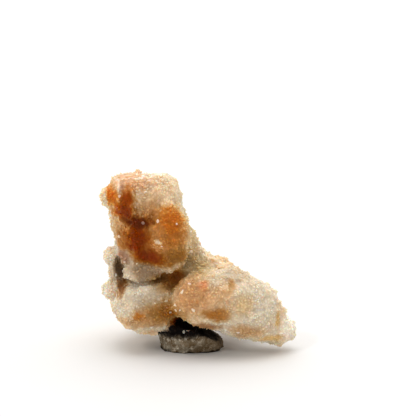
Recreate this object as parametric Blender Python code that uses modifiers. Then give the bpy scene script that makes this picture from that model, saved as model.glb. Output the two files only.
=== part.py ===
"""Spirit quartz: a small cluster of stubby quartz points, each crusted with a druse of little crystals.

The cluster grew as one piece, so it is one solid. It stands on the flat scar where its foot broke off
the host rock. +Z is up, the front faces -Y, and the origin is under the middle of the cluster.
"""

import math
import random

import bmesh
import bpy
from mathutils import Matrix, Vector, noise
from mathutils.bvhtree import BVHTree

MM = 0.001

# Outlines of the points: pairs of distance along the axis and share of the full half-width
COLUMN = ((0.0, 0.66), (0.12, 0.9), (0.35, 1.0), (0.65, 0.98), (0.88, 0.96), (0.96, 0.8), (1.0, 0.58))
SPINDLE = (
    (0.0, 0.42), (0.08, 0.7), (0.24, 0.88), (0.45, 1.0), (0.64, 0.98), (0.8, 0.82), (0.92, 0.58), (1.0, 0.3)
)
BLUNT = ((0.0, 0.6), (0.15, 0.85), (0.45, 1.0), (0.75, 0.92), (0.92, 0.66), (1.0, 0.32))
EGG = ((0.0, 0.4), (0.12, 0.74), (0.4, 1.0), (0.7, 0.92), (0.9, 0.62), (1.0, 0.3))
KNOB = ((0.0, 0.9), (0.5, 1.0), (0.82, 0.84), (1.0, 0.45))
BOWL = ((0.0, 0.52), (0.35, 0.66), (0.55, 0.86), (0.72, 0.97), (0.88, 1.0), (1.0, 0.62))

# Each point of the cluster, in millimetres: where its root and its tip are, how wide it is seen from
# the front, how deep it is from front to back, and how far its middle bows away from a straight line
POINTS = {
    "core": dict(root=(-4.4, 2.6, 2.0), tip=(-4.6, 2.0, 15.2), width=9.0, depth=9.6, outline=BLUNT),
    "column": dict(root=(-6.5, 0.4, 13.4), tip=(-9.0, 1.0, 27.3), width=12.4, depth=11.4, outline=COLUMN),
    "column_lump": dict(root=(-4.4, -2.7, 13.2), tip=(-5.4, -2.6, 24.2), width=7.6, depth=7.6, outline=EGG),
    "column_left": dict(
        root=(-8.8, -1.2, 13.4), tip=(-11.2, -1.0, 27.9), width=6.8, depth=8.6, outline=COLUMN
    ),
    "column_right": dict(root=(0.7, 1.0, 11.2), tip=(-3.2, 1.2, 20.0), width=3.8, depth=6.4, outline=BLUNT),
    "column_knob": dict(
        root=(-11.6, -0.8, 22.4), tip=(-14.9, -1.2, 26.0), width=3.4, depth=3.4, outline=KNOB
    ),
    "right_point": dict(
        root=(-3.3, -5.0, 9.9), tip=(13.5, -2.4, 3.8), width=10.8, depth=9.6, bow=(0.5, 0, 1.5),
        outline=SPINDLE,
    ),
    "right_tip": dict(root=(8.4, -3.2, 5.2), tip=(15.1, -2.0, 2.8), width=5.6, depth=5.2, outline=BLUNT),
    "left_point": dict(root=(-2.2, 1.0, 6.9), tip=(-12.8, -4.6, 7.7), width=9.4, depth=8.6, outline=EGG),
    "side_point": dict(root=(-6.0, 2.4, 7.2), tip=(-13.7, 1.8, 7.2), width=6.6, depth=6.4, outline=BLUNT),
    "side_knob": dict(root=(-10.0, 0.8, 9.2), tip=(-15.0, 0.3, 9.4), width=3.6, depth=3.6, outline=KNOB),
    "side_wall": dict(root=(-7.0, 2.2, 11.6), tip=(-14.3, 1.8, 12.2), width=4.8, depth=5.0, outline=BLUNT),
    "high_knob": dict(root=(-11.0, 0.6, 14.0), tip=(-14.9, 0.0, 15.5), width=3.4, depth=3.4, outline=KNOB),
    "grey_point": dict(
        root=(-5.0, -0.8, 13.9), tip=(-11.2, -4.8, 13.2), width=4.0, depth=4.2, outline=BLUNT
    ),
    "waist": dict(root=(-4.0, 0.6, 12.8), tip=(2.0, -1.2, 12.8), width=4.6, depth=4.6, outline=BLUNT),
    "back_ridge": dict(root=(-4.2, 3.6, 14.0), tip=(9.6, 4.8, 6.3), width=7.2, depth=7.4, outline=BLUNT),
    "ridge_fin": dict(root=(1.2, 2.0, 11.0), tip=(5.8, 0.6, 12.2), width=3.2, depth=3.4, outline=BLUNT),
    "back_column": dict(root=(-5.0, 4.0, 9.0), tip=(-8.4, 8.6, 20.8), width=8.8, depth=8.0, outline=BLUNT),
    "back_left_point": dict(
        root=(-4.4, 3.4, 8.4), tip=(-11.2, 9.6, 5.6), width=7.4, depth=7.0, outline=BLUNT
    ),
    "back_right_point": dict(
        root=(-1.6, 2.8, 8.6), tip=(7.6, 9.6, 5.4), width=8.0, depth=7.0, outline=BLUNT
    ),
    "foot": dict(root=(-3.0, -0.5, -2.0), tip=(-0.7, 0.4, 3.6), width=12.6, depth=12.2, outline=BOWL),
}
RING_SEGMENTS = 12
HEXAGON_SHARE = 0.5

# Gentle swelling of the points, in millimetres
SWELL_SPAN = 3.4
SWELL_HEIGHT = 0.5

# The fused points are remade as an even net of triangles, one crystal to each of the net's corners
NET_VOXEL = 0.32
NET_TRIANGLES = 3100
NET_GRAIN_SPAN = 1.1
NET_GRAIN_HEIGHT = 0.22

# Druse: how high a tip rises, how far it leans along its point and how far it strays, as shares of
# the half-breadth of the crystal's seat. The foot is bare broken stone and stays low. A tip that
# faces other stone less than the clear reach away, in millimetres, stays lower too.
RISE_SHARE = (0.2, 0.66)
FOOT_RISE_SHARE = 0.3
LEAN_SHARE = 0.28
STRAY_SHARE = 0.1
CLEAR_START = 0.1
CLEAR_REACH = 2.0
SETTLE_ROUNDS = 12
SETTLE_SHARE = 0.6
SEED = 11

QUARTZ_COLOUR = (0.56, 0.42, 0.28, 1.0)
QUARTZ_ROUGHNESS = 0.35


def clear_scene():
    for old in list(bpy.data.objects):
        bpy.data.objects.remove(old)


def lerp(low, high, share):
    return low + (high - low) * share


def as_object(name, shape):
    mesh = bpy.data.meshes.new(name)
    shape.to_mesh(mesh)
    shape.free()
    made = bpy.data.objects.new(name, mesh)
    bpy.data.collections["spirit_quartz"].objects.link(made)
    return made


def point_matrix(root, tip):
    """Carries local Z onto the axis from root to tip, and local Y as near to front-to-back as it goes."""
    axis = tip - root
    along = axis.normalized()
    back = Vector((0, 1, 0))
    back = (back - along * back.dot(along)).normalized()
    turn = Matrix((back.cross(along), back, along)).transposed().to_4x4()
    return Matrix.Translation(root) @ turn @ Matrix.Diagonal((1, 1, axis.length, 1))


def hexagon_reach(angle):
    """Radius, in this direction, of a hexagon with softened corners."""
    sector = math.radians(60)
    turned = (angle + sector / 2) % sector - sector / 2
    return 1 - HEXAGON_SHARE * (1 - math.cos(sector / 2) / math.cos(turned))


def make_point(name, root, tip, width, depth, outline, bow=(0, 0, 0)):
    """A stubby six-sided point, shaped from a sphere whose rings take the outline's stations."""
    rings = len(outline) + 1
    shape = bmesh.new()
    bmesh.ops.create_uvsphere(shape, u_segments=RING_SEGMENTS, v_segments=rings, radius=1)
    matrix = point_matrix(Vector(root) * MM, Vector(tip) * MM)
    for vertex in shape.verts:
        ring = round(math.acos(max(-1.0, min(1.0, -vertex.co.z))) / math.pi * rings)
        along, reach = outline[min(max(ring, 1), rings - 1) - 1]
        if ring in (0, rings):
            reach = 0.0
        angle = math.atan2(vertex.co.y, vertex.co.x)
        reach *= hexagon_reach(angle) * MM / 2
        local = Vector((math.cos(angle) * reach * width, math.sin(angle) * reach * depth, along))
        vertex.co = matrix @ local + Vector(bow) * MM * 4 * along * (1 - along)
    shape.normal_update()
    for vertex in shape.verts:
        swell = noise.noise(vertex.co / (SWELL_SPAN * MM)) * SWELL_HEIGHT * MM
        vertex.co += vertex.normal * swell
    return as_object(name, shape)


def apply_modifiers(target):
    bpy.context.view_layer.update()
    graph = bpy.context.evaluated_depsgraph_get()
    old = target.data
    target.data = bpy.data.meshes.new_from_object(target.evaluated_get(graph))
    target.modifiers.clear()
    bpy.data.meshes.remove(old)


def fuse(target, tool):
    """Joins tool to target. The EXACT solver drops most of the cluster here, and MANIFOLD keeps it."""
    change = target.modifiers.new("join", "BOOLEAN")
    change.operation = "UNION"
    change.solver = "MANIFOLD"
    change.object = tool
    apply_modifiers(target)
    bpy.data.meshes.remove(tool.data)


def remake_as_net(cluster):
    """Even triangles all over the fused points, their corners falling on a fine natural grain."""
    remesh = cluster.modifiers.new("even", "REMESH")
    remesh.mode = "VOXEL"
    remesh.voxel_size = NET_VOXEL * MM
    apply_modifiers(cluster)
    shape = bmesh.new()
    shape.from_mesh(cluster.data)
    shape.normal_update()
    for vertex in shape.verts:
        grain = noise.noise(vertex.co / (NET_GRAIN_SPAN * MM)) * NET_GRAIN_HEIGHT * MM
        vertex.co += vertex.normal * grain
    shape.to_mesh(cluster.data)
    shape.free()
    thin = cluster.modifiers.new("thin", "DECIMATE")
    thin.ratio = NET_TRIANGLES / (2 * len(cluster.data.polygons))
    thin.use_collapse_triangulate = True
    apply_modifiers(cluster)


def nearest_point(place):
    """Name and direction of the point whose axis is nearest to the place, for its width."""
    best, nearest, direction = math.inf, "", Vector()
    for name, point in POINTS.items():
        root, tip = Vector(point["root"]) * MM, Vector(point["tip"]) * MM
        axis = tip - root
        along = max(0.0, min(1.0, (place - root).dot(axis) / axis.length_squared))
        away = (place - root - axis * along).length / point["width"]
        if away < best:
            best, nearest, direction = away, name, axis.normalized()
    return nearest, direction


def tip_moves(shape, chance):
    """How far each corner of the net moves out to become the tip of a crystal."""
    tree = BVHTree.FromBMesh(shape)
    moves = []
    for seat in shape.verts:
        half_breadth = sum(edge.calc_length() for edge in seat.link_edges) / len(seat.link_edges) / 2
        start = seat.co + seat.normal * CLEAR_START * MM
        clear = tree.ray_cast(start, seat.normal, CLEAR_REACH * MM)[3]
        room = 1 if clear is None else clear / (CLEAR_REACH * MM)
        nearest, direction = nearest_point(seat.co)
        lean = direction - seat.normal * direction.dot(seat.normal)
        stray = Vector([chance.gauss(0, STRAY_SHARE) for _ in range(3)])
        rise = lerp(*RISE_SHARE, chance.random() ** 2) * (FOOT_RISE_SHARE if nearest == "foot" else 1)
        moves.append((seat.normal * rise + lean * LEAN_SHARE + stray) * half_breadth * room)
    return moves


def grow_druse(cluster, chance):
    """Raises a crystal on each corner of the net, with valleys between the middles of its triangles."""
    shape = bmesh.new()
    shape.from_mesh(cluster.data)
    shape.normal_update()
    moves = tip_moves(shape, chance)
    tips = shape.verts[:]
    sides = shape.edges[:]
    bmesh.ops.poke(shape, faces=shape.faces)
    bmesh.ops.rotate_edges(shape, edges=sides)
    seats = [tip.co.copy() for tip in tips]
    for tip, move in zip(tips, moves):
        tip.co += move
    for _ in range(SETTLE_ROUNDS):
        crossed = crossed_tips(shape)
        if not crossed:
            break
        for tip, seat in zip(tips, seats):
            if tip in crossed:
                tip.co = seat.lerp(tip.co, SETTLE_SHARE)
    shape.to_mesh(cluster.data)
    shape.free()


def crossed_tips(shape):
    """Corners of the faces that run through each other."""
    shape.faces.ensure_lookup_table()
    tree = BVHTree.FromBMesh(shape)
    crossed = set()
    for a, b in tree.overlap(tree):
        corners = set(shape.faces[a].verts), set(shape.faces[b].verts)
        if a < b and corners[0].isdisjoint(corners[1]):
            crossed |= corners[0] | corners[1]
    return crossed


def break_off_foot(cluster):
    """Cuts the foot off flat where it broke from the host rock."""
    shape = bmesh.new()
    shape.from_mesh(cluster.data)
    cut = bmesh.ops.bisect_plane(
        shape,
        geom=shape.verts[:] + shape.edges[:] + shape.faces[:],
        plane_co=(0, 0, 0),
        plane_no=(0, 0, -1),
        clear_outer=True,
    )
    rim = [part for part in cut["geom_cut"] if isinstance(part, bmesh.types.BMEdge)]
    bmesh.ops.edgeloop_fill(shape, edges=rim)
    shape.to_mesh(cluster.data)
    shape.free()


def set_on_origin(cluster):
    """Moves the cluster so that the origin is under the middle of its box."""
    places = [vertex.co for vertex in cluster.data.vertices]
    middle = [(min(p[i] for p in places) + max(p[i] for p in places)) / 2 for i in (0, 1)]
    cluster.data.transform(Matrix.Translation((-middle[0], -middle[1], 0)))


def quartz_material():
    quartz = bpy.data.materials.new("quartz")
    quartz.use_nodes = True
    shader = quartz.node_tree.nodes["Principled BSDF"]
    shader.inputs["Base Color"].default_value = QUARTZ_COLOUR
    shader.inputs["Roughness"].default_value = QUARTZ_ROUGHNESS
    shader.inputs["Metallic"].default_value = 0.0
    return quartz


def main():
    clear_scene()
    collection = bpy.data.collections.new("spirit_quartz")
    bpy.context.scene.collection.children.link(collection)
    first, *others = POINTS
    cluster = make_point(first, **POINTS[first])
    for name in others:
        fuse(cluster, make_point(name, **POINTS[name]))
    remake_as_net(cluster)
    grow_druse(cluster, random.Random(SEED))
    break_off_foot(cluster)
    set_on_origin(cluster)
    cluster.data.materials.append(quartz_material())
    cluster.name = "quartz_cluster"


main()
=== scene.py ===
"""Looks of the spirit quartz cluster: its sugary crust of fine crystals, its milky stone and its iron
stains, with the floor, the light and the camera of the photograph. Sizes are in millimetres unless a
comment says otherwise; +Z is up and the front faces -Y.
"""

import math
import random

import bmesh
import bpy
import numpy as np
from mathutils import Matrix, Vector, noise
from mathutils.bvhtree import BVHTree


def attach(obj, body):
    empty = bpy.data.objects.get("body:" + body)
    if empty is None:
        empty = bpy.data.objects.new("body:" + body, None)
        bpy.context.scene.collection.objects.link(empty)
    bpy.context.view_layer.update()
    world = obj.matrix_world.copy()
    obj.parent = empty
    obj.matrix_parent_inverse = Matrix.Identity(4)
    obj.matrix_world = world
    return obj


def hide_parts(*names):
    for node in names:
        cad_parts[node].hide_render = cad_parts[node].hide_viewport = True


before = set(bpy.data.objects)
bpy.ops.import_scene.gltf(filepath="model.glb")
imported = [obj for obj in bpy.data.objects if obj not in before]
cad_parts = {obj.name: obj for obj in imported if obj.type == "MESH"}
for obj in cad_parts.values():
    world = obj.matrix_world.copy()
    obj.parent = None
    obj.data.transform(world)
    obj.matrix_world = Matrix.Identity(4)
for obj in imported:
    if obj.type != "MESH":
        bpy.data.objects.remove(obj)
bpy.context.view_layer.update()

MM = 0.001
SEED = 7

# Crust: the solid's skin is remade finely, softened, roughened by coarse and fine noise, and thinned
# to a net of triangles
MERGE_REACH = 0.01
SKIN_VOXEL = 0.17
SKIN_SOFT_SHARE = 0.5
SKIN_SOFT_ROUNDS = 10
LUMP_SPAN = 1.5
LUMP_HEIGHT = 0.26
GRAIN_SPAN = 0.62
GRAIN_HEIGHT = 0.13
NET_TRIANGLES = 26000

# Crystals: one stands on each corner of the net. Its rise, from the least to the most, and the stray
# of its tip are shares of half the net's spacing there. Its tip is marked with a height, from the
# lowest tip's to 1.
RISE_SHARES = (0.25, 1.05)
RISE_POWER = 2.0
STRAY_SHARE = 0.16
LOWEST_TIP = 0.4

# Rough areas, with high crystals, and calm ones, with low crystals: a factor on the rise
ROUGH_SPAN = 2.6
ROUGH_MIDDLE = 0.8
ROUGH_SWING = 1.4
ROUGH_LEAST = 0.2
ROUGH_MOST = 1.35

# Foot: the rock that the specimen broke off with, low and near the middle, where the rise is small.
# Its underside is carried deeper before the skin is remade, and cut flat after the crystals.
FOOT_DEEPER = 1.5
FOOT_TOP = 3.6
FOOT_MIDDLE = (-1.6, -0.8)
FOOT_REACH = 6.4
FOOT_RISE_SHARE = 0.3

# Hollows: rays in all directions, of which those that leave the skin steeply enough are followed from
# just above it as far as the reach
HOLLOW_RAYS = 40
HOLLOW_LEAST_SLOPE = 0.15
HOLLOW_START = 0.35
HOLLOW_REACH = 6.0

# Camera: placed as the photograph's, which looks down a little. The elevation is in degrees.
CAMERA_AIM = (1.45, 3.41, 21.69)
CAMERA_DISTANCE = 300.0
CAMERA_ELEVATION = 12.0
CAMERA_LENS = 162.3

# Surround: white, dimmer low than high, dim in front, where the photographer stands, and bright behind.
# Each ramp goes over one part of the direction, from a first to a second number, and gives a share of
# the strength at each.
BACKWARD_GLOW = (-0.4, 0.7, 0.72, 1.35)
UPWARD_GLOW = (0.0, 0.7, 0.6, 1.0)
# Suns: name, the way to it, strength, and breadth in degrees
SUNS = (
    ("overhead", (0.0, -0.08, 1.0), 1.1, 45),
    ("sparkle", (-0.5, -0.6, 0.7), 0.35, 1.3),
)
# The photograph's contrast is strong
PHOTO_GAMMA = 0.86

# Floor: half its side, two pale shades, and their noise, with its grains counted per metre
FLOOR_HALF = 2000.0
FLOOR_SHADES = ((0.785, 0.775, 0.76, 1), (0.8, 0.79, 0.78, 1))
FLOOR_NOISE = (40, 3, 0.5)

# The colour sockets of a mix node, which has sockets for other kinds of data too
MIX_SHARE = 0
MIX_FIRST = 6
MIX_SECOND = 7
MIX_RESULT = 2


def millimetres(*place):
    return Vector(place) * MM


def linear(red, green, blue):
    """A colour as it looks on a screen, 0 to 255, as the linear colour that a shader takes."""
    shares = [value / 255 for value in (red, green, blue)]
    return tuple(s / 12.92 if s <= 0.04045 else ((s + 0.055) / 1.055) ** 2.4 for s in shares) + (1.0,)


# Geometry


def apply_modifiers(piece):
    bpy.context.view_layer.update()
    graph = bpy.context.evaluated_depsgraph_get()
    old = piece.data
    piece.data = bpy.data.meshes.new_from_object(piece.evaluated_get(graph))
    piece.modifiers.clear()
    bpy.data.meshes.remove(old)


def skin_of(node):
    """A closed copy of the solid, with the foot's flat underside carried deeper."""
    shape = bmesh.new()
    shape.from_mesh(node.data)
    bmesh.ops.remove_doubles(shape, verts=shape.verts, dist=MERGE_REACH * MM)
    scar = [face for face in shape.faces if max(v.co.z for v in face.verts) < MERGE_REACH * MM]
    deeper = bmesh.ops.extrude_face_region(shape, geom=scar)
    moved = [part for part in deeper["geom"] if isinstance(part, bmesh.types.BMVert)]
    bmesh.ops.translate(shape, verts=moved, vec=(0, 0, -FOOT_DEEPER * MM))
    bmesh.ops.delete(shape, geom=scar, context="FACES_ONLY")
    mesh = bpy.data.meshes.new("quartz_crust")
    shape.to_mesh(mesh)
    shape.free()
    piece = bpy.data.objects.new("quartz_crust", mesh)
    bpy.context.scene.collection.objects.link(piece)
    return piece


def roughen(piece, *grains):
    """Moves the surface in and out by noise, given as pairs of span and height."""
    shape = bmesh.new()
    shape.from_mesh(piece.data)
    shape.normal_update()
    for vertex in shape.verts:
        lift = sum(noise.noise(vertex.co / (span * MM)) * height for span, height in grains)
        vertex.co += vertex.normal * lift * MM
    shape.to_mesh(piece.data)
    shape.free()


def remake_as_net(piece):
    remesh = piece.modifiers.new("even", "REMESH")
    remesh.mode = "VOXEL"
    remesh.voxel_size = SKIN_VOXEL * MM
    soften = piece.modifiers.new("soften", "SMOOTH")
    soften.factor = SKIN_SOFT_SHARE
    soften.iterations = SKIN_SOFT_ROUNDS
    apply_modifiers(piece)
    roughen(piece, (LUMP_SPAN, LUMP_HEIGHT), (GRAIN_SPAN, GRAIN_HEIGHT))
    thin = piece.modifiers.new("thin", "DECIMATE")
    thin.ratio = NET_TRIANGLES / (2 * len(piece.data.polygons))
    thin.use_collapse_triangulate = True
    apply_modifiers(piece)


def on_foot(place):
    away = math.hypot(place.x / MM - FOOT_MIDDLE[0], place.y / MM - FOOT_MIDDLE[1])
    return place.z < FOOT_TOP * MM and away < FOOT_REACH


def grow_crystals(piece, chance):
    """Raises a crystal on each corner of the net, with valleys between them.

    Keeps at each vertex how high it stands, 0 in a valley, and on each face its crystal's own number
    from 0 to 1, called tint.
    """
    shape = bmesh.new()
    shape.from_mesh(piece.data)
    shape.normal_update()
    height = shape.verts.layers.float.new("height")
    tint = shape.faces.layers.float.new("tint")
    tips = shape.verts[:]
    sides = shape.edges[:]
    breadths = [sum(e.calc_length() for e in tip.link_edges) / len(tip.link_edges) / 2 for tip in tips]
    normals = [tip.normal.copy() for tip in tips]
    bmesh.ops.poke(shape, faces=shape.faces)
    bmesh.ops.rotate_edges(shape, edges=sides)
    least, most = RISE_SHARES
    for tip, breadth, normal in zip(tips, breadths, normals):
        rise = chance.random() ** RISE_POWER
        share = least + (most - least) * rise
        rough = ROUGH_MIDDLE + ROUGH_SWING * noise.noise(tip.co / (ROUGH_SPAN * MM))
        share *= min(max(rough, ROUGH_LEAST), ROUGH_MOST)
        if on_foot(tip.co):
            share *= FOOT_RISE_SHARE
        stray = Vector([chance.gauss(0, STRAY_SHARE) for _ in range(3)])
        tip.co += (normal * share + stray) * breadth
        tip[height] = LOWEST_TIP + (1 - LOWEST_TIP) * rise
        shade = chance.random()
        for face in tip.link_faces:
            face[tint] = shade
    shape.to_mesh(piece.data)
    shape.free()


def break_off_foot(piece):
    """Cuts the foot flat at the floor."""
    shape = bmesh.new()
    shape.from_mesh(piece.data)
    cut = bmesh.ops.bisect_plane(
        shape,
        geom=shape.verts[:] + shape.edges[:] + shape.faces[:],
        plane_co=(0, 0, 0),
        plane_no=(0, 0, -1),
        clear_outer=True,
    )
    rim = [part for part in cut["geom_cut"] if isinstance(part, bmesh.types.BMEdge)]
    bmesh.ops.edgeloop_fill(shape, edges=rim)
    shape.to_mesh(piece.data)
    shape.free()


def sphere_directions(count):
    """Directions spread evenly over a sphere, on a spiral."""
    turn = math.pi * (3 - math.sqrt(5))
    for i in range(count):
        z = 1 - (2 * i + 1) / count
        reach = math.sqrt(1 - z * z)
        yield Vector((reach * math.cos(turn * i), reach * math.sin(turn * i), z))


def mark_hollows(piece, skin_tree):
    """Keeps at each vertex the share of the rays from there that meet other stone, called hollow."""
    mesh = piece.data
    rays = list(sphere_directions(HOLLOW_RAYS))
    hollow = mesh.attributes.new("hollow", "FLOAT", "POINT")
    shares = np.zeros(len(mesh.vertices), np.float32)
    for i, vertex in enumerate(mesh.vertices):
        _, normal, _, _ = skin_tree.find_nearest(vertex.co)
        start = vertex.co + normal * HOLLOW_START * MM
        open_rays = [ray for ray in rays if ray.dot(normal) > HOLLOW_LEAST_SLOPE]
        hits = [skin_tree.ray_cast(start, ray, HOLLOW_REACH * MM)[0] for ray in open_rays]
        shares[i] = sum(hit is not None for hit in hits) / len(open_rays)
    hollow.data.foreach_set("value", shares)


# Materials


class Nodes:
    """Short words for making the nodes of a material or a world and joining them."""

    def __init__(self, tree):
        self.tree = tree

    def add(self, kind, **values):
        node = self.tree.nodes.new(kind)
        for name, value in values.items():
            setattr(node, name, value)
        return node

    def join(self, source, target):
        """Joins an output to an input, or gives the input a constant value."""
        if isinstance(source, bpy.types.NodeSocket):
            self.tree.links.new(source, target)
        else:
            target.default_value = source

    def maths(self, operation, *values):
        node = self.add("ShaderNodeMath", operation=operation)
        for value, socket in zip(values, node.inputs):
            self.join(value, socket)
        return node.outputs[0]

    def vector(self, operation, *values):
        node = self.add("ShaderNodeVectorMath", operation=operation)
        for value, socket in zip(values, node.inputs):
            self.join(value, socket)
        return node.outputs["Value" if operation == "LENGTH" else "Vector"]

    def scaled(self, vector, factor):
        node = self.add("ShaderNodeVectorMath", operation="SCALE")
        self.join(vector, node.inputs[0])
        self.join(factor, node.inputs["Scale"])
        return node.outputs["Vector"]

    def axes(self, vector):
        node = self.add("ShaderNodeSeparateXYZ")
        self.join(vector, node.inputs[0])
        return node.outputs

    def place(self):
        """Where a point is on its object, in millimetres."""
        return self.scaled(self.add("ShaderNodeTexCoord").outputs["Object"], 1 / MM)

    def attribute(self, name):
        return self.add("ShaderNodeAttribute", attribute_name=name).outputs["Fac"]

    def noise(self, place, grains, detail, rough, colour=False):
        node = self.add("ShaderNodeTexNoise")
        self.join(place, node.inputs["Vector"])
        node.inputs["Scale"].default_value = grains
        node.inputs["Detail"].default_value = detail
        node.inputs["Roughness"].default_value = rough
        return node.outputs["Color" if colour else "Fac"]

    def ramp(self, value, low, high, out_low=0.0, out_high=1.0, smooth=True):
        """Goes from out_low, where the value is low, to out_high, where it is high."""
        node = self.add("ShaderNodeMapRange", interpolation_type="SMOOTHSTEP" if smooth else "LINEAR")
        for given, socket in zip((value, low, high, out_low, out_high), node.inputs):
            self.join(given, socket)
        return node.outputs[0]

    def mix(self, share, first, second, blend="MIX"):
        node = self.add("ShaderNodeMix", data_type="RGBA", blend_type=blend, clamp_factor=True)
        self.join(share, node.inputs[MIX_SHARE])
        self.join(first, node.inputs[MIX_FIRST])
        self.join(second, node.inputs[MIX_SECOND])
        return node.outputs[MIX_RESULT]

    def bump(self, height, strength, reach):
        node = self.add("ShaderNodeBump")
        self.join(height, node.inputs["Height"])
        node.inputs["Strength"].default_value = strength
        node.inputs["Distance"].default_value = reach * MM
        return node.outputs[0]


def new_material(name):
    """A material, the maker of its nodes and the inputs of its shader."""
    material = bpy.data.materials.new(name)
    material.use_nodes = True
    return material, Nodes(material.node_tree), material.node_tree.nodes["Principled BSDF"].inputs


# Colours of the stone and its stains, and of painted shade and painted highlights
CREAM = linear(242, 221, 190)
PALE = linear(253, 248, 236)
GREY = linear(232, 224, 206)
PINK = linear(226, 180, 142)
PEACH = linear(216, 172, 124)
RED = linear(226, 154, 108)
ROSE = linear(182, 146, 122)
TAN = linear(204, 154, 100)
OCHRE = linear(222, 182, 118)
HONEY = linear(240, 206, 146)
AMBER = linear(194, 128, 52)
ORANGE = linear(204, 120, 26)
RUST = linear(216, 126, 34)
SIENNA = linear(140, 86, 38)
BRONZE = linear(174, 106, 28)
CHESTNUT = linear(164, 78, 2)
DUSK = linear(176, 156, 132)
OLIVE = linear(168, 120, 54)
BROWN = linear(148, 64, 0)
UMBER = linear(112, 44, 0)
MOSS = linear(194, 172, 130)
ROCK = linear(158, 148, 130)
UMBER_ROCK = linear(118, 98, 70)
FLECK = linear(218, 208, 190)
SHADE = linear(92, 70, 45)
# Near-black, used as painted shade in the recesses, gaps and undersides
BLACK_SHADE = linear(16, 6, 3)
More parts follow.
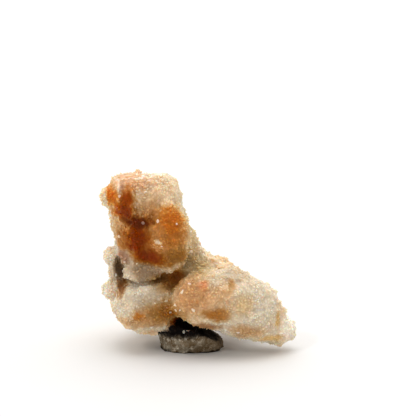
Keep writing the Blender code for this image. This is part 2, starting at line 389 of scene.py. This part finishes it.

# Patches on the front, each over those before it, stains among them and also painted shade and painted
# highlights: name, middle, reach each way, colour and strength
STAINS = (
    ("pink band across the column's top", (-10.5, -5.1, 27.6), (3.2, 5.0, 1.3), PINK, 0.8),
    ("rose crown of the column", (-6.8, -4.4, 26.8), (2.2, 5.0, 0.8), ROSE, 0.35),
    ("rose beside the rust", (-12.2, -5.7, 26.5), (0.6, 3.5, 1.1), ROSE, 0.45),
    ("cream shoulder at the column's right", (-5.7, -4.9, 25.7), (2.1, 5.0, 1.6), CREAM, 0.95),
    ("tan left side of the column", (-12.4, -4.9, 19.3), (1.6, 4.0, 2.9), TAN, 0.7),
    ("tan middle of the column", (-8.0, -6.2, 20.6), (2.2, 4.0, 3.8), TAN, 0.85),
    ("bronze shade on its left side", (-11.8, -5.4, 18.1), (0.8, 3.0, 1.8), BRONZE, 0.5),
    ("rose grey at the column's lower left", (-11.7, -4.6, 15.4), (1.3, 3.0, 1.0), ROSE, 0.9),
    ("amber lump", (-4.7, -7.5, 19.9), (2.6, 4.5, 3.2), AMBER, 0.95),
    ("orange glow on the lump", (-4.0, -6.9, 21.7), (1.4, 3.5, 1.8), ORANGE, 0.75),
    ("tan on the lump's left", (-6.8, -6.9, 19.8), (1.3, 3.0, 1.4), TAN, 0.7),
    ("pink crystals low on the lump", (-6.0, -7.4, 17.3), (1.1, 2.5, 0.6), PINK, 0.55),
    # A painted highlight: white glints on a few crystals of the lump
    ("clear crystals on the lump", (-6.4, -7.4, 18.6), (0.5, 2.0, 0.3), PALE, 0.85),
    ("olive foot of the lump", (-4.1, -6.9, 15.9), (2.6, 4.0, 1.4), OLIVE, 0.95),
    ("chestnut below the corner", (-11.1, -6.5, 25.1), (1.1, 3.5, 1.3), CHESTNUT, 1.0),
    ("rust on the left corner", (-13.6, -4.4, 25.1), (0.8, 3.5, 1.4), RUST, 1.0),
    ("rust below the left corner", (-12.7, -5.1, 23.2), (0.6, 3.5, 1.0), RUST, 1.0),
    ("brown band down the left", (-11.4, -6.2, 23.1), (1.3, 3.5, 1.1), BROWN, 1.0),
    ("brown down the middle", (-9.6, -6.7, 18.8), (1.6, 3.5, 2.4), BROWN, 1.0),
    ("umber in the middle", (-9.4, -6.2, 21.5), (1.9, 3.0, 0.9), UMBER, 1.0),
    ("brown at the column's base", (-7.7, -5.9, 15.9), (1.9, 3.5, 1.2), BROWN, 1.0),
    ("moss strip beside the column", (-1.1, -1.3, 18.5), (1.0, 4.0, 4.5), MOSS, 0.5),
    ("pale knob beside the column", (-13.8, -2.3, 15.2), (1.1, 4.0, 1.8), PALE, 0.5),
    ("grey point", (-8.8, -6.3, 13.2), (2.9, 3.5, 1.3), DUSK, 1.0),
    ("pale edge of the grey point", (-10.9, -6.5, 13.0), (0.8, 3.0, 1.0), GREY, 0.8),
    # Painted shade in the cavity between the knob and the column
    ("dark cavity", (-12.5, -1.3, 13.0), (0.9, 3.0, 1.5), SHADE, 1.0),
    # Painted shadow in the slit above the left point
    ("black slit above the left point", (-10.2, -4.5, 11.1), (1.0, 3.0, 0.2), BLACK_SHADE, 0.9),
    ("olive below the lump", (-5.6, -3.0, 11.4), (2.2, 4.0, 1.3), OLIVE, 0.9),
    ("bronze valley", (-3.4, -3.0, 12.3), (1.1, 3.5, 1.3), BRONZE, 0.7),
    ("moss waist", (-0.4, -3.6, 13.7), (2.1, 4.0, 1.6), MOSS, 0.85),
    ("grey top of the left point", (-9.2, -6.4, 9.9), (3.5, 4.0, 1.8), GREY, 0.95),
    # Partly the stone's milky colour and partly a painted highlight on the left point's top
    ("milky top of the left point", (-9.3, -6.3, 10.5), (1.8, 3.0, 0.6), PALE, 0.5),
    ("tan underside of the left point", (-8.2, -7.3, 5.4), (3.5, 4.0, 0.8), TAN, 0.6),
    ("dusk middle of the left point", (-7.3, -7.2, 8.6), (2.2, 4.0, 1.3), DUSK, 0.5),
    ("tan around the left point's spot", (-9.0, -7.5, 7.1), (1.4, 3.0, 1.0), TAN, 0.6),
    ("orange spot on the left point", (-9.5, -7.5, 6.8), (0.7, 2.5, 0.6), ORANGE, 0.6),
    ("olive right side of the left point", (-5.0, -6.9, 7.1), (2.4, 4.0, 1.6), OLIVE, 0.95),
    ("brown right end of the left point", (-4.5, -6.7, 7.1), (1.0, 3.0, 0.8), BROWN, 0.3),
    ("umber where the points meet", (-2.8, -3.5, 4.7), (1.6, 3.0, 0.8), UMBER, 1.0),
    ("sienna hollow", (-12.1, -3.9, 10.4), (0.6, 2.5, 1.0), SIENNA, 0.8),
    ("pale side lump", (-14.2, -2.6, 9.5), (1.1, 4.0, 1.4), PALE, 0.7),
    ("peach end of the right point", (-1.2, -8.9, 10.4), (2.7, 4.0, 2.7), PEACH, 0.95),
    ("red spot at its upper edge", (0.7, -8.3, 12.0), (0.6, 2.0, 0.6), RED, 0.65),
    ("amber spot on its back", (5.0, -8.4, 11.8), (0.6, 2.0, 1.0), AMBER, 0.75),
    ("peach middle of the right point", (3.6, -9.5, 9.7), (2.6, 4.0, 2.1), PEACH, 0.65),
    ("bronze along its lower edge", (2.8, -9.3, 7.4), (1.9, 3.0, 0.9), BRONZE, 0.7),
    ("sienna under its lower edge", (0.8, -7.8, 5.3), (2.2, 3.0, 0.5), SIENNA, 0.6),
    # Painted black shade on the right point's lower edge over the recess
    ("soot on its lower edge", (-0.6, -5.0, 4.0), (2.1, 3.5, 0.4), BLACK_SHADE, 1.0),
    ("grey right half of the right point", (8.7, -8.6, 9.3), (3.5, 5.0, 3.8), GREY, 0.95),
    # Painted shade that dims the top of the right point
    ("dusk back of the right point", (6.5, -5.5, 13.4), (2.9, 4.0, 0.8), DUSK, 0.5),
    ("ochre tinge in the right point's middle", (6.9, -9.4, 8.9), (1.3, 3.0, 1.3), OCHRE, 0.4),
    ("tan under the right point", (7.5, -8.6, 4.5), (2.2, 3.0, 1.0), TAN, 0.6),
    # Painted light under the right point's tip, standing for the floor's reflection
    ("honey under its tip", (11.2, -6.2, 2.8), (1.9, 3.5, 0.6), HONEY, 0.9),
    # A painted highlight on the facets at the right point's tip
    ("bright facets at its tip", (13.9, -5.5, 4.4), (1.0, 4.0, 1.9), PALE, 0.9),
    ("ochre streak at its tip", (12.3, -6.6, 5.9), (0.3, 3.0, 1.1), OCHRE, 0.7),
    ("cream knob on the ridge", (3.9, 2.9, 13.4), (1.1, 3.5, 0.8), CREAM, 0.95),
    # Painted highlights where the column's top edge and its left corner catch the light
    ("clear rim along the column's top", (-8.4, -2.5, 27.9), (4.3, 3.0, 0.1), PALE, 0.9),
    ("clear rim at the left corner", (-12.8, -4.9, 27.1), (0.2, 3.0, 0.8), PALE, 0.7),
)

# How far the patches' edges waver and fray, and, as shares of their reach, how much a crystal's own
# number moves them, how large they are drawn, and how softly they end
STAIN_WARP = 0.9
STAIN_FRAY = 0.45
STAIN_PATCH = 0.12
STAIN_SIZE = 1.15
STAIN_SOFT = 0.55

# Painted black shade in the recess under the right point, where it meets the foot, which ends sharply
BLACK_SHADE_CENTRE = (-1.0, -4.2, 3.7)
BLACK_SHADE_REACH = (3.6, 4.4, 1.4)
BLACK_SHADE_RAMP = (1.25, 0.85)
BLACK_SHADE_DULLNESS = 0.5

# The iron on the back: where along Y it begins and is whole, and how much noise brings each colour
BACK_RAMP = (-1.0, 3.0)
BACK_IRON = ((0.5, 0.6, AMBER), (0.6, 0.68, BROWN))
BACK_STRENGTH = 0.7

# The middle of a coloured noise
NOISE_MIDDLE = (0.5, 0.5, 0.5)

# Noises of the quartz: grains per millimetre, detail and roughness
WAVER_NOISE = (0.35, 1, 0.5)
FRAY_NOISE = (1.6, 3, 0.7)
CLOUD_NOISE = (0.16, 3, 0.6)
TAN_NOISE = (0.4, 4, 0.65)
IRON_NOISE = (0.2, 3, 0.6)
SPECKLE_NOISE = (1.9, 3, 0.7)
GLOSS_NOISE = (1.1, 2, 0.5)
PIT_NOISE = (5.0, 3, 0.7)

# Ramps of the quartz: from a first to a second number, and then, unless it is from 0 to 1, the result
# at each
CLOUD_RAMP = (0.38, 0.62)
TAN_RAMP = (0.52, 0.78, 0.0, 0.5)
OLIVE_HOLLOW_RAMP = (0.35, 0.85, 0.0, 0.8)
UMBER_HOLLOW_RAMP = (0.6, 1.0, 0.0, 0.5)
VALLEY_RAMP = (0.0, 0.6, 0.12, 0.0)
TINT_RAMP = (0.0, 1.0, 0.93, 1.07)
SPECKLE_RAMP = (0.3, 0.7, 0.93, 1.06)
GLINT_CRYSTAL_RAMP = (0.982, 0.99, 0.0, 0.6)
GLOSS_RAMP = (0.3, 0.7, 0.1, 0.24)

# Noises and ramps of the foot's rock, as for the quartz. The brown side's ramp goes over X. The ramp of
# the high painted shade goes over Z, and its lower edge rises along X by the tilt. The painted contact
# shadow by the floor goes over Z too.
ROCK_NOISE = (0.7, 3, 0.6)
ROCK_RAMP = (0.35, 0.65)
FLECK_NOISE = (1.5, 5, 0.8)
FLECK_RAMP = (0.5, 0.64)
RAGGED_NOISE = (0.8, 4, 0.65)
RAGGED_REACH = 2.4
ROCK_PIT_NOISE = (3.0, 4, 0.7)
BROWN_SIDE_RAMP = (-3.0, 5.0, 0.0, 0.7)
HIGH_SHADE_RAMP = (3.4, 4.9)
HIGH_SHADE_TILT = 0.1
HOLLOW_SHADE_RAMP = (0.3, 0.65, 0.0, 0.9)
FLOOR_SHADOW_RAMP = (1.1, 1.7, 0.85, 0.0)


def root(colour):
    """The cube roots of a colour's shares. Where these are mixed, iron's tint thins to gold."""
    return tuple(share ** (1 / 3) for share in colour)


def wavering(n, place):
    """The place moved about by noise, so that what is drawn by it gets wavering, frayed edges."""
    moved = place
    for settings, reach in ((WAVER_NOISE, STAIN_WARP), (FRAY_NOISE, STAIN_FRAY)):
        swing = n.vector("SUBTRACT", n.noise(place, *settings, colour=True), NOISE_MIDDLE)
        moved = n.vector("ADD", moved, n.scaled(swing, 2 * reach))
    return moved


def quartz_material():
    """Milky quartz with light scattered inside, stained by iron. Its colours are mixed as roots."""
    material, n, shader = new_material("milky_stained_quartz")
    place = n.place()
    moved = wavering(n, place)
    tint = n.attribute("tint")
    hollow = n.attribute("hollow")
    patchy = n.ramp(tint, 0.0, 1.0, -STAIN_PATCH, STAIN_PATCH, smooth=False)

    def reach_to(centre, radii):
        """How far the centre is, 1 being as far as the radii."""
        offset = n.vector("DIVIDE", n.vector("SUBTRACT", moved, centre), radii)
        return n.maths("ADD", n.vector("LENGTH", offset), patchy)

    colour = n.mix(n.ramp(n.noise(place, *CLOUD_NOISE), *CLOUD_RAMP), root(CREAM), root(GREY))
    colour = n.mix(n.ramp(n.noise(place, *TAN_NOISE), *TAN_RAMP), colour, root(TAN))
    # the back, which the photograph doesn't show, carries iron of its own
    behind = n.ramp(n.axes(place)["Y"], *BACK_RAMP)
    iron = n.noise(moved, *IRON_NOISE)
    for low, high, stain in BACK_IRON:
        share = n.maths("MULTIPLY", n.ramp(iron, low, high, 0.0, BACK_STRENGTH), behind)
        colour = n.mix(share, colour, root(stain))
    # dirt and iron in the hollows, and also painted shade there, as they darken by how much other stone
    # is around
    colour = n.mix(n.ramp(hollow, *OLIVE_HOLLOW_RAMP), colour, root(OLIVE))
    colour = n.mix(n.ramp(hollow, *UMBER_HOLLOW_RAMP), colour, root(UMBER))
    outside, inside = STAIN_SIZE * (1 + STAIN_SOFT), STAIN_SIZE * (1 - STAIN_SOFT)
    for _, centre, radii, stain, strength in STAINS:
        share = n.ramp(reach_to(centre, radii), outside, inside, 0.0, strength)
        colour = n.mix(share, colour, root(stain))
    # sienna dirt and painted shade in the valleys between the crystals
    colour = n.mix(n.ramp(n.attribute("height"), *VALLEY_RAMP), colour, root(SIENNA))
    # painted black shade in the recess under the right point, which is also made rougher
    black_shade = n.ramp(reach_to(BLACK_SHADE_CENTRE, BLACK_SHADE_REACH), *BLACK_SHADE_RAMP)
    colour = n.mix(black_shade, colour, root(BLACK_SHADE))
    # from the roots back to the colour
    colour = n.vector("MULTIPLY", colour, n.vector("MULTIPLY", colour, colour))
    # crystals differ a little from each other, and a few are painted near-white as glints
    own = n.ramp(tint, *TINT_RAMP, smooth=False)
    speckle = n.ramp(n.noise(place, *SPECKLE_NOISE), *SPECKLE_RAMP)
    grain = n.scaled((1, 1, 1), n.maths("MULTIPLY", own, speckle))
    colour = n.mix(1.0, colour, grain, blend="MULTIPLY")
    colour = n.mix(n.ramp(tint, *GLINT_CRYSTAL_RAMP), colour, PALE)
    gloss = n.ramp(n.noise(place, *GLOSS_NOISE), *GLOSS_RAMP)
    dullness = n.maths("ADD", gloss, n.maths("MULTIPLY", black_shade, BLACK_SHADE_DULLNESS))

    n.join(colour, shader["Base Color"])
    n.join(dullness, shader["Roughness"])
    shader["IOR"].default_value = 1.54
    shader["Specular IOR Level"].default_value = 0.12
    shader["Subsurface Weight"].default_value = 1.0
    shader["Subsurface Radius"].default_value = (1.0, 0.7, 0.45)
    shader["Subsurface Scale"].default_value = 1.1 * MM
    n.join(n.bump(n.noise(place, *PIT_NOISE), strength=0.25, reach=0.05), shader["Normal"])
    return material


def rock_material():
    """Grey rock with pale flecks, browner on its right, with painted black shade at its top and in its
    hollows, and a painted contact shadow by the floor.
    """
    material, n, shader = new_material("grey_foot_rock")
    place = n.place()
    ragged = n.scaled(n.noise(place, *RAGGED_NOISE, colour=True), RAGGED_REACH)
    axes = n.axes(n.vector("ADD", place, ragged))
    level = n.maths("SUBTRACT", axes["Z"], n.maths("MULTIPLY", axes["X"], HIGH_SHADE_TILT))
    rock = n.mix(n.ramp(n.noise(place, *ROCK_NOISE), *ROCK_RAMP), ROCK, UMBER_ROCK)
    rock = n.mix(n.ramp(n.noise(place, *FLECK_NOISE), *FLECK_RAMP), rock, FLECK)
    rock = n.mix(n.ramp(axes["X"], *BROWN_SIDE_RAMP), rock, UMBER_ROCK)
    # painted black shade at the foot's top and in its hollows, and a painted contact shadow by the floor
    rock = n.mix(n.ramp(level, *HIGH_SHADE_RAMP), rock, BLACK_SHADE)
    rock = n.mix(n.ramp(n.attribute("hollow"), *HOLLOW_SHADE_RAMP), rock, BLACK_SHADE)
    rock = n.mix(n.ramp(axes["Z"], *FLOOR_SHADOW_RAMP), rock, BLACK_SHADE)

    n.join(rock, shader["Base Color"])
    shader["Roughness"].default_value = 0.85
    shader["Specular IOR Level"].default_value = 0.12
    n.join(n.bump(n.noise(place, *ROCK_PIT_NOISE), strength=0.5, reach=0.12), shader["Normal"])
    return material


def floor_material():
    material, n, shader = new_material("pale_floor")
    place = n.add("ShaderNodeTexCoord").outputs["Object"]
    n.join(n.mix(n.noise(place, *FLOOR_NOISE), *FLOOR_SHADES), shader["Base Color"])
    shader["Roughness"].default_value = 0.7
    return material


# Stage


def add_floor():
    half = FLOOR_HALF * MM
    corners = [(-half, -half, 0), (half, -half, 0), (half, half, 0), (-half, half, 0)]
    mesh = bpy.data.meshes.new("floor")
    mesh.from_pydata(corners, [], [(0, 1, 2, 3)])
    floor = bpy.data.objects.new("floor", mesh)
    bpy.context.scene.collection.objects.link(floor)
    mesh.materials.append(floor_material())


def add_light():
    world = bpy.data.worlds.new("white_surround")
    bpy.context.scene.world = world
    world.use_nodes = True
    n = Nodes(world.node_tree)
    background = world.node_tree.nodes["Background"].inputs
    direction = n.axes(n.add("ShaderNodeTexCoord").outputs["Generated"])
    backward = n.ramp(direction["Y"], *BACKWARD_GLOW)
    upward = n.ramp(direction["Z"], *UPWARD_GLOW)
    n.join(n.maths("MULTIPLY", backward, upward), background["Strength"])
    background["Color"].default_value = (1, 1, 1, 1)
    bpy.context.scene.view_settings.view_transform = "Standard"
    bpy.context.scene.view_settings.gamma = PHOTO_GAMMA
    for name, toward, strength, breadth in SUNS:
        light = bpy.data.lights.new(name, "SUN")
        light.energy = strength
        light.angle = math.radians(breadth)
        lamp = bpy.data.objects.new(name, light)
        lamp.rotation_euler = Vector(toward).to_track_quat("Z", "Y").to_euler()
        bpy.context.scene.collection.objects.link(lamp)


def add_camera():
    camera = bpy.data.cameras.new("photo_camera")
    camera.lens = CAMERA_LENS
    camera.clip_start = MM
    holder = bpy.data.objects.new("photo_camera", camera)
    tilt = math.radians(CAMERA_ELEVATION)
    back = Vector((0, -math.cos(tilt), math.sin(tilt)))
    holder.location = millimetres(*CAMERA_AIM) + back * CAMERA_DISTANCE * MM
    holder.rotation_euler = back.to_track_quat("Z", "Y").to_euler()
    bpy.context.scene.collection.objects.link(holder)
    bpy.context.scene.camera = holder


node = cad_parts["quartz_cluster"]
crust = skin_of(node)
remake_as_net(crust)
skin_tree = BVHTree.FromPolygons(
    [v.co for v in crust.data.vertices], [p.vertices for p in crust.data.polygons]
)
grow_crystals(crust, random.Random(SEED))
break_off_foot(crust)
mark_hollows(crust, skin_tree)
crust.data.materials.append(quartz_material())
crust.data.materials.append(rock_material())
for face in crust.data.polygons:
    face.material_index = int(on_foot(face.center))
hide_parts("quartz_cluster")
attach(crust, "root")

add_floor()
add_light()
add_camera()
